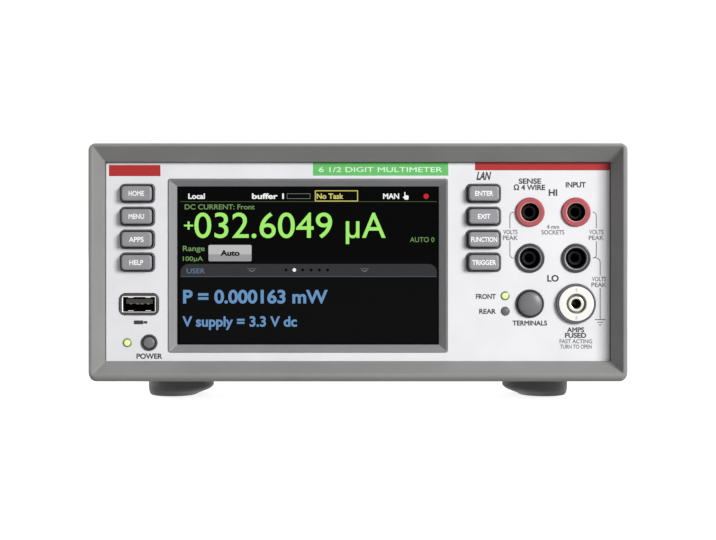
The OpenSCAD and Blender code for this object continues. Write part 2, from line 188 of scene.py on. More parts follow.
def brushed(name, colour, rough):
    """Sheet metal with fine lines that run along X."""
    f = Finish(name, colour, rough, metal=1.0)
    lines = f.noise(6, 4, (1, 40, 40))
    f.tint(lines, 0.06)
    f.polish(f.noise(14, 3), 0.06)
    return f.bump(lines, 0.004, 0.4)


def plated(name, colour, rough):
    """Bright plating with faint haze and handling marks."""
    f = Finish(name, colour, rough, metal=1.0)
    f.tint(f.noise(3, 4), 0.05)
    f.polish(f.noise(1.2, 3), 0.06)
    return f.bump(f.noise(0.8, 2), 0.003, 0.3)


def ink(name, colour):
    """Screen-printed ink, slightly uneven."""
    f = Finish(name, colour, 0.5, level=0.3)
    f.tint(f.noise(0.5, 3), 0.08)
    return f.bump(f.noise(0.15, 2), 0.004, 0.4)


def lit(name, colour, strength):
    """Part of the picture on the display, behind its glass."""
    f = Finish(name, (0.0, 0.0, 0.0), 0.12, level=0.02)
    return f.glow(colour, strength)


def grey(value):
    """The linear value of a display grey from 0 to 255."""
    value /= 255
    return value / 12.92 if value <= 0.04045 else ((value + 0.055) / 1.055) ** 2.4


def rgb(red, green, blue):
    return grey(red), grey(green), grey(blue)


def circuit_finish():
    """Green solder mask over a net of copper tracks."""
    f = Finish("circuit_board", (0.012, 0.09, 0.035), 0.3, coat=0.4)
    cells = f.add("ShaderNodeTexVoronoi", feature="DISTANCE_TO_EDGE", distance="MANHATTAN")
    socket(cells, "Scale", 1 / (4 * MM))
    f.link(f.place, cells.inputs["Vector"])
    tracks = f.ranged(cells.outputs["Distance"], 1, 0, 0.02, 0.05)
    f.blend(tracks, (0.01, 0.075, 0.03, 1), (0.03, 0.16, 0.06, 1))
    return f.bump(tracks, 0.03, 0.5)


def powder_coat(name, colour):
    """Powder-coated sheet: soft orange peel with a fine speckle."""
    f = Finish(name, colour, 0.62, level=0.25)
    f.tint(f.noise(25, 4), 0.008)
    f.polish(f.noise(4, 3), 0.04)
    f.bump(f.noise(1.4, 2), 0.02, 0.3)
    return f.bump(f.noise(0.3, 2), 0.008, 0.4)


def laminated(name, colour):
    """Stacked transformer sheets under varnish."""
    f = Finish(name, colour, 0.45, metal=0.4)
    sheets = f.noise(0.6, 1, (1, 60, 1))
    f.tint(sheets, 0.3)
    return f.bump(sheets, 0.15, 0.8)


FINISHES = {finish.name: finish for finish in (
    moulded("bumper_rubber", rgb(136, 136, 135), 0.62, 0.5, 0.02, level=0.35),
    moulded("panel_plastic", rgb(229, 229, 232), 0.5, 0.3, 0.01),
    moulded("surround_plastic", rgb(132, 132, 134), 0.45, 0.4, 0.01),
    Finish("display_glass", (0.001, 0.001, 0.0012), 0.08, level=0.03),
    brushed("bare_aluminium", (0.62, 0.63, 0.64), 0.38),
    moulded("dark_plastic", rgb(96, 97, 100), 0.42),
    moulded("black_plastic", rgb(26, 26, 28), 0.38),
    moulded("button_grey", rgb(106, 106, 108), 0.38),
    moulded("key_plastic", rgb(142, 142, 146), 0.42, 0.25),
    Finish("lamp_lit", (0.3, 0.36, 0.16), 0.15).glow(rgb(228, 240, 160), 0.75),
    Finish("lamp_dark", rgb(100, 102, 101), 0.45, level=0.3),
    moulded("jack_red", rgb(172, 72, 76), 0.34, 0.5, 0.006),
    moulded("jack_black", rgb(36, 37, 39), 0.34, 0.5, 0.006),
    moulded("liner_grey", rgb(14, 14, 15), 0.4, level=0.3),
    plated("contact_nickel", (0.62, 0.6, 0.55), 0.24),
    plated("nickel_steel", (0.68, 0.67, 0.64), 0.22),
    moulded("carrier_white", rgb(238, 237, 232), 0.35, 0.5, 0.006),
    plated("fuse_glass", (0.7, 0.7, 0.68), 0.15),
    circuit_finish(),
    brushed("zinc_steel", (0.55, 0.56, 0.55), 0.42),
    powder_coat("case_paint", rgb(190, 191, 192)),
    plated("screw_steel", (0.55, 0.55, 0.54), 0.28),
    moulded("foot_rubber", rgb(46, 46, 47), 0.45, 0.6, 0.03),
    laminated("transformer_iron", (0.09, 0.08, 0.07)),
)}
INK_COLOURS = {
    "dark": (52, 52, 56),
    "grey": (104, 104, 108),
    "white": (246, 246, 246),
    "red": (172, 42, 42),
    "green": (100, 186, 102),
    "pale_green": (214, 240, 212),
}
INKS = {name: ink("ink_" + name, rgb(*colour)) for name, colour in INK_COLOURS.items()}
PICTURE_COLOURS = {  # colour and brightness
    "black": ((14, 14, 15), 0.8),
    "white": ((245, 245, 245), 1),
    "green": ((158, 232, 108), 1.05),
    "dim_green": ((112, 150, 92), 1),
    "olive": ((92, 112, 70), 0.7),
    "yellow": ((214, 205, 110), 1),
    "blue": ((104, 146, 190), 1),
    "dim_blue": ((98, 124, 148), 1),
    "tab": ((54, 54, 57), 1),
    "tab_line": ((84, 92, 106), 1),
    "grey": ((126, 126, 128), 1),
    "button": ((188, 188, 188), 1),
    "button_low": ((156, 156, 156), 1),
    "red": ((205, 40, 50), 1),
    "ink": ((6, 6, 6), 0.3),
}
PICTURE = {
    name: lit("picture_" + name, rgb(*colour), strength)
    for name, (colour, strength) in PICTURE_COLOURS.items()
}


# --- shapes ---

def in_scene(name, data):
    """A new object in the scene."""
    made = bpy.data.objects.new(name, data)
    bpy.context.scene.collection.objects.link(made)
    return made


def as_mesh(made, name="mesh"):
    """Turns a bmesh into a mesh."""
    mesh = bpy.data.meshes.new(name)
    made.to_mesh(mesh)
    made.free()
    return mesh


def add_piece(name, mesh, finish, body="case", nodes=()):
    """Turns a mesh into a piece that rides on a body, with one material."""
    mesh.materials.clear()
    mesh.materials.append(finish.material)
    piece = in_scene(name, mesh)
    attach(piece, body)
    if nodes:
        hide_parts(*nodes)
    return piece


def even_normals(piece):
    """Lets the large faces set the normals."""
    weighted = piece.modifiers.new("even_normals", "WEIGHTED_NORMAL")
    weighted.keep_sharp = True


def smooth(piece, angle=32):
    """Smooth shading that keeps flat faces flat."""
    piece.data.polygons.foreach_set("use_smooth", [True] * len(piece.data.polygons))
    piece.data.set_sharp_from_angle(angle=math.radians(angle))
    even_normals(piece)


def add_moulding(name, mesh, slot, node, body="case", finish=None, angle=32):
    """A smooth piece in place of a CAD node, with the given finish, else the finish of the named record slot.
    """
    smooth(add_piece(name, mesh, finish or FINISHES[slot], body, [node]), angle)


def span(a, b):
    """How far apart two rings of an outline are, leaving out their corner radii."""
    if len(a) == 2:
        return math.dist(a, b)
    return math.hypot(max(abs(a[i] - b[i]) for i in range(4)), a[5] - b[5])


def rounded(points, radii, closed, steps=4):
    """Replaces each corner of a profile by an arc that starts radii[i] before it; 0 if left out."""
    count, out = len(points), []
    radii = (radii or []) + [0] * count
    for i, point in enumerate(points):
        ends = not closed and i in (0, count - 1)
        if ends or not radii[i]:
            out.append(tuple(point))
            continue
        here = np.array(point, float)
        sides = []
        for other in (points[i - 1], points[(i + 1) % count]):
            reach = min(radii[i] / max(span(point, other), 1e-6), 0.5)
            sides.append(here + (np.array(other, float) - here) * reach)
        for k in range(steps + 1):
            t = k / steps
            arc = sides[0] * (1 - t) ** 2 + here * 2 * t * (1 - t) + sides[1] * t ** 2
            out.append(tuple(arc))
    return out


def add_walls(made, low, high):
    """Faces between two rings of equally many points."""
    for i in range(len(low)):
        j = (i + 1) % len(low)
        made.faces.new((low[i], low[j], high[j], high[i]))


def skin(rings, closed):
    """A closed mesh through rings of equally many points."""
    made = bmesh.new()
    rows = [[made.verts.new(point) for point in ring] for ring in rings]
    for low, high in zip(rows, rows[1:] + (rows[:1] if closed else [])):
        add_walls(made, low, high)
    if not closed:
        made.faces.new(rows[0])
        made.faces.new(rows[-1])
    bmesh.ops.remove_doubles(made, verts=made.verts, dist=1e-7)
    bmesh.ops.dissolve_degenerate(made, edges=made.edges, dist=1e-8)
    bmesh.ops.recalc_face_normals(made, faces=made.faces)
    return as_mesh(made)


LEAST_CORNER = 0.02  # keeps a corner's points apart


def rectangle(side, ring, corner_steps):
    """Points round a rectangle (x0, x1, z0, z1, corner radius, proud)."""
    x0, x1, z0, z1, r, proud = ring
    r = max(r, LEAST_CORNER)
    points = []
    centres = ((x1 - r, z1 - r, 0), (x0 + r, z1 - r, 90), (x0 + r, z0 + r, 180), (x1 - r, z0 + r, 270))
    for cx, cz, start in centres:
        for k in range(corner_steps + 1):
            a = math.radians(start + 90 * k / corner_steps)
            points.append(side.at(cx + r * math.cos(a), cz + r * math.sin(a), proud))
    return points


def loft(side, rings, radii=None, closed=False, corner_steps=6):
    """A mesh through rectangles with round corners; closed makes a hollow frame."""
    rings = rounded(rings, radii, closed)
    return skin([rectangle(side, ring, corner_steps) for ring in rings], closed)


def circle(r, segments):
    """Points round a circle about the origin."""
    turn = [2 * math.pi * k / segments for k in range(segments)]
    return [(r * math.cos(a), r * math.sin(a)) for a in turn]


def level_ring(x, y, r, z, segments):
    """Points round a level circle."""
    return [Vector((x + dx, y + dy, z)) * MM for dx, dy in circle(r, segments)]


def turned(side, x, z, profile, radii=None, segments=72, steps=4):
    """A mesh turned round an axis that stands on the face.

    The profile's points are (radius, proud). One that doesn't start on the axis closes on itself.
    """
    closed = profile[0][0] > 0
    profile = rounded(profile, radii, closed, steps)
    rings = [[side.at(x + dx, z + dz, proud) for dx, dz in circle(r, segments)] for r, proud in profile]
    return skin(rings, closed)


def around(x, z, w, h, r, proud):
    """A rectangle ring given by its middle and size."""
    return (x - w / 2, x + w / 2, z - h / 2, z + h / 2, r, proud)


def soften(node, width, angle=30):
    """Rounds the sharp edges of a CAD node."""
    piece = frame["nodes"][node]
    weld = piece.modifiers.new("weld", "WELD")
    weld.merge_threshold = 1e-6
    bevel = piece.modifiers.new("edges", "BEVEL")
    bevel.width = width * MM
    bevel.segments = 2
    bevel.limit_method = "ANGLE"
    bevel.angle_limit = math.radians(angle)
    bevel.use_clamp_overlap = True
    even_normals(piece)


def join(meshes):
    """One mesh from several."""
    made = bmesh.new()
    for mesh in meshes:
        made.from_mesh(mesh)
    return as_mesh(made)


def block(side, ring, back, front, corner_steps=2):
    """A bar that stands on a face; ring is (x0, x1, z0, z1, corner radius)."""
    return loft(side, [(*ring, back), (*ring, front)], corner_steps=corner_steps)


# --- lettering ---

def glyphs(text):
    """The mesh of a line of text, one unit of font size high, at the origin."""
    curve = bpy.data.curves.new("text", "FONT")
    curve.body = text
    curve.resolution_u = 6
    piece = in_scene("text", curve)
    bpy.context.view_layer.update()
    mesh = bpy.data.meshes.new_from_object(piece.evaluated_get(bpy.context.evaluated_depsgraph_get()))
    bpy.data.objects.remove(piece)
    return mesh


def corners(mesh):
    """Lowest and highest X and Y of a flat mesh."""
    points = np.array([v.co[:2] for v in mesh.vertices])
    return points.min(0), points.max(0)


def embolden(made, width):
    """Moves the outline of flat letters outwards by width."""
    moves = {}
    for edge in made.edges:
        if len(edge.link_faces) != 1:
            continue
        a, b = (v.co for v in edge.verts)
        out = Vector((b.y - a.y, a.x - b.x, 0)).normalized()
        if out.dot(edge.link_faces[0].calc_center_median() - a) > 0:
            out = -out
        for v in edge.verts:
            moves.setdefault(v, []).append(out)
    for v, ways in moves.items():
        way = sum(ways, Vector()).normalized()
        v.co += way * width / max(way.dot(ways[0]), 0.6)


CAP_HEIGHT = corners(glyphs("H"))[1][1]
INK_THICK = 0.02
INK_LIFT = 0.004  # keeps printing clear of the face below it


def lettering(side, text, x, z, cap, width=None, align="centre", proud=0.0, bold=0.0, slant=0.0,
              flip=False):
    """Raised letters on a face: x, z is the baseline's middle or end, cap the capitals' height."""
    flat = glyphs(text)
    low, high = corners(flat)
    scale_z = cap / CAP_HEIGHT
    scale_x = width / (high[0] - low[0]) if width else scale_z
    total = (high[0] - low[0]) * scale_x
    start = {"left": 0, "centre": -total / 2, "right": -total}[align]
    made = bmesh.new()
    made.from_mesh(flat)
    if bold:
        embolden(made, bold)
    top = bmesh.ops.extrude_face_region(made, geom=list(made.faces))
    lifted = {v for v in top["geom"] if isinstance(v, bmesh.types.BMVert)}
    for v in made.verts:
        px = (v.co.x - low[0]) * scale_x + start + v.co.y * scale_z * slant
        px = -px if flip else px
        depth = proud + INK_LIFT + (INK_THICK if v in lifted else 0)
        v.co = side.at(x + px, z + v.co.y * scale_z, depth)
    bmesh.ops.recalc_face_normals(made, faces=made.faces)
    return as_mesh(made)


def plate(side, x0, x1, z0, z1, r=0.0, proud=0.0):
    """A thin rectangle of ink or light."""
    low = proud + INK_LIFT
    return block(side, (x0, x1, z0, z1, r), low, low + INK_THICK, corner_steps=5)


def stroke(side, points, width, proud=0.0):
    """A printed line of even width through points (x, z)."""
    left, right = [], []
    for i, point in enumerate(points):
        before, after = Vector(points[max(i - 1, 0)]), Vector(points[min(i + 1, len(points) - 1)])
        along = (after - before).normalized()
        across = Vector((-along.y, along.x)) * width / 2
        left.append(Vector(point) + across)
        right.append(Vector(point) - across)
    outline = left + right[::-1]
    rings = [[side.at(p.x, p.y, proud + INK_LIFT + d) for p in outline] for d in (0, INK_THICK)]
    made = bmesh.new()
    rows = [[made.verts.new(p) for p in ring] for ring in rings]
    n, half = len(outline), len(left)
    add_walls(made, *rows)
    for row in rows:
        for i in range(half - 1):
            made.faces.new((row[i], row[i + 1], row[n - 2 - i], row[n - 1 - i]))
    bmesh.ops.recalc_face_normals(made, faces=made.faces)
    return as_mesh(made)


def bend(x0, z0, x1, z1, steps=5):
    """A quarter turn from a level end to an upright one."""
    out = []
    for k in range(steps + 1):
        a = math.pi / 2 * k / steps
        out.append((x0 + (x1 - x0) * math.sin(a), z1 + (z0 - z1) * math.cos(a)))
    return out


# --- bumpers, surround, keys ---

OPENING = (-104.5, 104.5, 17.9, 100.2)
BANDS = (1.8, 3.4, 1.2)


def bumper(name, side, edge):
    """The moulded frame round one end of the case, with soft edges and crisp mitres."""
    low, high = box(name)
    back, rim = side.reach(name)
    x1, z0, z1 = high.x, low.z, high.z
    band_x, band_low, band_top = BANDS
    case = middle("rear_panel")[1]
    in_x, in_z = box("top_cover")[1].x + 0.4, box("top_cover")[1].z - case + 0.4
    rings = [
        (-x1, x1, z0, z1, 3, back),
        (-x1, x1, z0, z1, 3, rim - 1.8),
        (-x1, x1, z0 + 1.7, z1, 3, rim),
        (-x1 + band_x, x1 - band_x, z0 + band_low, z1 - band_top, 0.7, rim),
        (*OPENING, 0.5, edge),
        (*OPENING, 0.5, 0.1),
        (-in_x, in_x, case - in_z, case + in_z, 2, 0.1),
        (-in_x, in_x, case - in_z, case + in_z, 2, back),
    ]
    mesh = loft(side, rings, [0.8, 0.9, 1.1, 0.45, 0.3], closed=True, corner_steps=8)
    add_moulding(name + "_moulding", mesh, "bumper_rubber", name)


def display_frame():
    """The sloping frame round the display."""
    x, z = middle("touch_glass")
    low, high = box("display_surround")
    w, h = high.x - low.x - 4, high.z - low.z - 4
    glass_w, glass_h = w - 6.8, h - 5.9
    back, front = FRONT.reach("display_surround")
    glass = FRONT.reach("touch_glass")[1]
    rings = [around(x, z, *ring) for ring in (
        (w + 4, h + 4, 1, back),
        (w + 4, h + 4, 1, -3.1),
        (w, h, 0.9, -3.1),
        (w, h, 0.9, front),
        (glass_w + 5.9, glass_h + 5.1, 0.5, front),
        (glass_w, glass_h, 0.3, glass + 0.2),
        (glass_w, glass_h, 0.3, glass + 0.05),
        (glass_w + 4.3, glass_h + 4.2, 0.3, glass + 0.05),
        (glass_w + 4.3, glass_h + 4.2, 0.3, back),
    )]
    mesh = loft(FRONT, rings, [0, 0.2, 0, 0.25, 0.15, 0.1], closed=True)
    add_moulding("display_surround_moulding", mesh, "surround_plastic", "display_surround")


# Each key's word and how wide it is printed.
KEY_WORDS = {"home": 6.2, "menu": 6.3, "apps": 5.9, "help": 5.6, "enter": 7.3, "exit": 5.0,
             "function": 10.6, "trigger": 9.7}


def key_cap(word, width):
    """A key: dished cap, retaining rim and stem, a black sleeve on the cap's sides that paints their shade,
    and its word printed on the face.
    """
    node, body = "key_" + word, word + "_key"
    low, high = box(node)
    x, z = middle(node)
    w, h = high.x - low.x - 2.4, high.z - low.z - 2.4
    tail, front = FRONT.reach(node)
    rim = tail + 2.4
    rings = [around(x, z, *ring) for ring in (
        (3, 3, 0.3, tail),
        (3, 3, 0.3, rim),
        (w + 2.4, h + 2.4, 1, rim),
        (w + 2.4, h + 2.4, 1, rim + 0.8),
        (w, h, 1.4, rim + 0.8),
        (w - 0.1, h - 0.1, 1.4, front - 0.55),
        (w - 1.1, h - 1.1, 1.1, front),
        (w - 3.4, h - 3.4, 0.6, front - 0.05),
    )]
    mesh = loft(FRONT, rings, [0.2, 0, 0.2, 0.2, 0, 0.35, 0.35], corner_steps=7)
    add_moulding(node + "_cap", mesh, "key_plastic", node, body)
    # Painted shade: a thin black sleeve over the cap's sides stands in for the shade on them.
    shade_skirt = [around(x, z, *ring) for ring in (
        (w + 0.08, h + 0.08, 1.4, rim + 0.85),
        (w + 0.08, h + 0.08, 1.4, front - 1.1),
        (w - 0.3, h - 0.3, 1.3, front - 1.1),
        (w - 0.3, h - 0.3, 1.3, rim + 0.85),
    )]
    add_piece(node + "_painted_shade_skirt", loft(FRONT, shade_skirt, closed=True), FINISHES["black_plastic"], body)
    text = lettering(FRONT, word.upper(), x, z - 0.95, 1.9, width, proud=front - 0.005, bold=0.03)
    add_piece(node + "_word", text, INKS["white"], body)


def round_cap(node, stem_r, stem_l, dome, edge):
    """A round button, which is its own body: cap with a soft edge, rim and stem."""
    low, high = box(node)
    x, z = middle(node)
    rim_r = (high.x - low.x) / 2
    r = rim_r - 1
    tail, front = FRONT.reach(node)
    rim = tail + stem_l
    profile = [
        (0, tail), (stem_r, tail), (stem_r, rim), (rim_r, rim), (rim_r, rim + 1), (r, rim + 1),
        (r, front - dome), (r * 0.55, front - dome * 0.15), (0, front),
    ]
    mesh = turned(FRONT, x, z, profile, [0, 0.2, 0, 0.2, 0.2, 0, edge, 1.2, 0], steps=6)
    add_moulding(node + "_cap", mesh, "button_grey", node, body=node, angle=DOME_ANGLE)


def round_collar(node, edge):
    """The dark ring round a button."""
    low, high = box(node)
    x, z = middle(node)
    flange = (high.x - low.x) / 2
    outer = flange - 1.5
    inner = (box(node.replace("collar", "button"))[1].x - x) - 0.7
    back, front = FRONT.reach(node)
    profile = [(inner, back), (flange, back), (flange, -3.1), (outer, -3.1), (outer, front), (inner, front)]
    mesh = turned(FRONT, x, z, profile, [0, 0, 0, 0, edge, edge * 0.6])
    add_moulding(node + "_ring", mesh, "dark_plastic", node, finish=COLLAR)


COLLAR = moulded("collar_black", rgb(54, 55, 58), 0.42)
DOME_ANGLE = 50  # domed faces stay smooth up to this angle


# --- jacks ---

# Radii of a 4 mm jack: the hole for the plug, its contact, the shell's bore and the ring that shows.
PLUG_R, CONTACT_R, BORE_R, RING_R = 2.0, 2.9, 4.95, 5.95
# How far out the contact, the bore and the shell end; the face is at 0.
CONTACT_END, BORE_END, SHELL_END = -26.1, -26.2, -28
# Radius of the mouth that each colour's shell leaves open.
JACK_LIPS = {"hi": 4.12, "lo": 4.78}
# Pale rings painted on the jacks' lips stand in for their highlight; the tip's black is in here too.
JACK_HIGHLIGHTS_AND_TIP = {
    "hi": moulded("ring_rose", rgb(206, 150, 150), 0.35, 0.4, 0.005),
    "lo": moulded("ring_grey", rgb(168, 170, 172), 0.35, 0.4, 0.005),
    # Black of the insulating tips, also used as painted shade down the contacts' bores.
    "tip": moulded("tip_black_and_bore_shade", rgb(16, 17, 19), 0.5, 0.4, 0.005, level=0.2),
}


def jack_shell(side, x, z, panel, lip):
    """The coloured shell of a 4 mm jack, with its nut behind a panel so thick; lip is its mouth's radius."""
    back, nut = -panel - 0.1, -panel - 1.6
    profile = [
        (BORE_R, 0.65), (lip, 0.65), (lip, 1.0), (RING_R, 1.0), (RING_R, back), (7.5, back), (7.5, nut),
        (5.9, nut), (5.9, SHELL_END), (1.8, SHELL_END), (1.8, BORE_END), (BORE_R, BORE_END),
    ]
    return turned(side, x, z, profile, [0, 0.1, 0.2, 0.45, 0, 0.2, 0.2, 0, 0.3])


def jack_liner(side, x, z):
    """The dark tube inside a jack's shell."""
    profile = [(4.05, 0.6), (4.85, 0.6), (4.85, CONTACT_END), (4.05, CONTACT_END)]
    return turned(side, x, z, profile, [0.3, 0.3])


def jack_ring(side, x, z, lip):
    """The pale ring on the sloping edge of a jack's well, a painted highlight where the lip catches the
    light.
    """
    a, b = lip - 0.32, lip + 0.02
    return turned(side, x, z, [(a, 0.57), (b, 0.57), (b, 0.9), (a, 0.75)], [0, 0, 0.1, 0.1])


def jack_tip_and_bore_shade(side, x, z):
    """The black insulating tip on the end of a jack's contact, with a black sleeve down its bore and a disc
    at its bottom that paint the bore's shade.
    """
    profile = [
        (1.95, -3.4), (2.98, -3.4), (2.98, -9), (2.91, -9), (2.91, -3.55), (1.99, -3.55), (1.99, -24.95),
        (0, -24.95), (0, -24.8), (1.95, -24.8),
    ]
    return turned(side, x, z, profile, [0.05, 0.15], segments=48)


def jack_contact(side, x, z):
    """The plated tube that a plug goes into."""
    profile = [
        (PLUG_R, -3.5), (CONTACT_R, -3.5), (CONTACT_R, CONTACT_END), (1.7, CONTACT_END), (1.7, -33), (0, -33),
        (0, -25), (PLUG_R, -25),
    ]
    return turned(side, x, z, profile, [0.25, 0.2, 0, 0, 0.4], segments=48)


def jacks():
    """Front and rear jacks, in place of their CAD nodes."""
    for name, (x, z) in JACKS.items():
        slot = "jack_red" if name.endswith("hi") else "jack_black"
        shell = jack_shell(FRONT, x, z, 3, JACK_LIPS[name[-2:]])
        add_moulding(name + "_jack_shell", shell, slot, name + "_jack")
    for colour, ending in (("red", "hi"), ("black", "lo")):
        meshes = [jack_shell(REAR, x, z, 1.2, JACK_LIPS[ending])
                  for name, (x, z) in JACKS.items() if name.endswith(ending)]
        add_moulding(f"rear_{colour}_jack_shells", join(meshes), "jack_" + colour, f"rear_{colour}_jacks")
    spots = [(side, *place) for side in (FRONT, REAR) for place in JACKS.values()]
    add_moulding("jack_liner_tubes", join([jack_liner(*s) for s in spots]), "liner_grey", "jack_liners")
    contacts = join([jack_contact(*s) for s in spots])
    add_moulding("jack_contact_tubes", contacts, "contact_nickel", "jack_contacts")
    # The tips' black also paints the shade down the contacts' bores.
    smooth(add_piece("jack_tips_and_bore_shade", join([jack_tip_and_bore_shade(*s) for s in spots]), JACK_HIGHLIGHTS_AND_TIP["tip"]))
    # Painted highlights: pale rings on the lips of the front and rear jacks.
    for ending, lip in JACK_LIPS.items():
        meshes = [jack_ring(side, x, z, lip) for side in (FRONT, REAR)
                  for name, (x, z) in JACKS.items() if name.endswith(ending)]
        smooth(add_piece(f"jack_rings_{ending}", join(meshes), JACK_HIGHLIGHTS_AND_TIP[ending]))


HOLDER = moulded("holder_grey", rgb(92, 93, 96), 0.4)
SEAL = moulded("seal_olive", rgb(128, 126, 104), 0.4)
# Painted shade: dark brown standing in for the shade deep in the current jack's contact.
AMPS_BORE_SHADE = plated("amps_bore_shade", (0.05, 0.047, 0.035), 0.5)
PALE_MARK = ink("ink_pale_mark", rgb(206, 200, 196))
FUSE_TUBE = moulded("fuse_ceramic", rgb(225, 224, 216), 0.35)
FUSE_CAP = 5  # length of each of the fuse's end caps


def amps_jack():
    """The fused current jack: dark holder, white carrier with turning marks, plated contact and fuse."""
    x, z = middle("amps_holder")
    holder = [
        (7.5, 1.5), (8.17, 1.5), (8.17, -3.1), (10, -3.1), (10, -4.6), (8, -4.6), (8, -52),
        (0, -52), (0, -50.5), (6.95, -50.5), (6.95, -1.8), (7.5, -1.8),
    ]
    radii = [0.15, 0.3, 0, 0, 0.2, 0, 0.5]
    mesh = turned(FRONT, x, z, holder, radii, segments=96)
    add_moulding("amps_holder_body", mesh, "dark_plastic", "amps_holder", finish=HOLDER)
    carrier = [
        (4.15, 1.8), (7.25, 1.8), (7.25, -1.2), (6.65, -1.2), (6.65, -29.5), (2.9, -29.5), (2.9, -24.2),
        (0, -24.2), (0, -22.6), (3.3, -22.6), (3.3, -3), (4.15, -3),
    ]
    radii = [0.3, 0.4, 0.2, 0, 0.4]
    mesh = turned(FRONT, x, z, carrier, radii, segments=96)
    add_moulding("amps_carrier_cap", mesh, "carrier_white", "amps_carrier", "amps_carrier")
    contact = [(2.0, 1.3), (3.2, 1.3), (3.2, -22.5), (0, -22.5), (0, -20.5), (2.0, -20.5)]
    mesh = turned(FRONT, x, z, contact, [0.35, 0.3], segments=64)
    add_moulding("amps_contact_tube", mesh, "contact_nickel", "amps_contact", "amps_carrier")
    seal = [(4.14, -0.3), (4.14, -2.9), (3.22, -2.9), (3.22, -0.3)]
    smooth(add_piece("amps_seal_ring", turned(FRONT, x, z, seal), SEAL, "amps_carrier"))
    # A dark sleeve lines the contact's bore as painted shade.
    bore_shade = [(1.93, 0.5), (1.99, 0.5), (1.99, -20.4), (1.93, -20.4)]
    mesh = turned(FRONT, x, z, bore_shade, segments=48)
    smooth(add_piece("amps_bore_shade_sleeve", mesh, AMPS_BORE_SHADE, "amps_carrier"))
    marks = [plate(FRONT, x - 0.35, x + 0.35, m - 0.7, m + 0.7, 0.1, 1.8) for m in (z - 5.7, z + 5.7)]
    add_piece("amps_carrier_marks", join(marks), PALE_MARK, "amps_carrier")
    x, z = middle("amps_fuse")
    a, b = FRONT.reach("amps_fuse")
    barrel = [(0, a + 4.5), (2.35, a + 4.5), (2.35, b - 4.5), (0, b - 4.5)]
    mesh = turned(FRONT, x, z, barrel)
    add_moulding("amps_fuse_tube", mesh, "fuse_glass", "amps_fuse", "amps_fuse", FUSE_TUBE)
    caps = [turned(FRONT, x, z, [(0, p), (2.6, p), (2.6, q), (0, q)], [0, 0.3, 0.3])
            for p, q in ((a, a + FUSE_CAP), (b - FUSE_CAP, b))]
    smooth(add_piece("amps_fuse_caps", join(caps), FINISHES["fuse_glass"], "amps_fuse"))


# --- sockets, lights, feet ---

def tube(side, x, z, w, h, r, walls, ends, corner_steps=6):
    """A square tube; walls are how much smaller than w and h its outside and inside are."""
    outer, inner = walls
    back, front = ends
    rings = [around(x, z, w - d, h - d, r, p)
             for d, p in ((outer, front), (outer, back), (inner, back), (inner, front))]
    return loft(side, rings, closed=True, corner_steps=corner_steps)


def usb_socket():
    """Details of the USB host socket: contacts, spring tabs, a black sleeve and floor that paint the shade
    inside it, and a bright lip on the shell.
    """
    x, z = middle("usb_shell")
    low = box("usb_tongue")[0].z
    back, front = FRONT.reach("usb_tongue")
    contacts = [block(FRONT, (x + i - 0.5, x + i + 0.5, low - 0.12, low - 0.01, 0.03), back + 1, front - 0.6)
                for i in (-3.5, -1.0, 1.0, 3.5)]
    add_piece("usb_contacts", join(contacts), CONTACT_GOLD)
    tabs = [block(FRONT, (x + s * 3.6 - 1.1, x + s * 3.6 + 1.1, z + z0, z + z1, 0.05), -6, -1.2)
            for s in (-1, 1) for z0, z1 in ((2.62, 2.95), (-2.95, -2.62))]
    add_piece("usb_spring_tabs", join(tabs), FINISHES["nickel_steel"])
    # Painted shade: a matt black sleeve and floor inside the shell stand in for the shade deep in the socket.
    shade_sleeve = tube(FRONT, x, z, 13.2, 6.0, 0.3, (0.02, 0.2), (-11, -0.7))
    floor = plate(FRONT, x - 6.5, x + 6.5, z - 2.9, z + 2.9, 0.2, -10.85)
    add_piece("usb_painted_shade_lining", join([shade_sleeve, floor]), PAINTED_SHADE)
    lip_w, lip_h = 14, 6.8
    rings = [around(x, z, lip_w + d, lip_h + d, r, p)
             for d, r, p in ((0.1, 0.8, 0.2), (0.1, 0.8, 0.5), (-0.7, 0.4, 0.3), (-0.7, 0.4, 0.2))]
    mesh = loft(FRONT, rings, [0, 0.15, 0.1], closed=True)
    smooth(add_piece("usb_shell_lip", mesh, FINISHES["nickel_steel"]))


# The black walls that paint the shade inside the network socket, from its middle: x0, x1, z0, z1 and how far
# out each comes.
PORT_SHADE_WALLS = (
    (-5.93, -5.83, -3.38, 4.98, -0.4),
    (5.83, 5.93, -3.38, 4.98, -0.4),
    (-5.83, 5.83, 4.88, 4.98, -0.4),
    (-5.83, -3.0, -3.38, -3.28, -0.4),
    (3.0, 5.83, -3.38, -3.28, -0.4),
    (-2.98, -2.88, -5.18, -3.28, -0.4),
    (2.88, 2.98, -5.18, -3.28, -0.4),
    (-2.88, 2.88, -5.18, -5.08, -0.4),
    (-5.8, 5.8, -3.2, 4.8, -12.7),
)


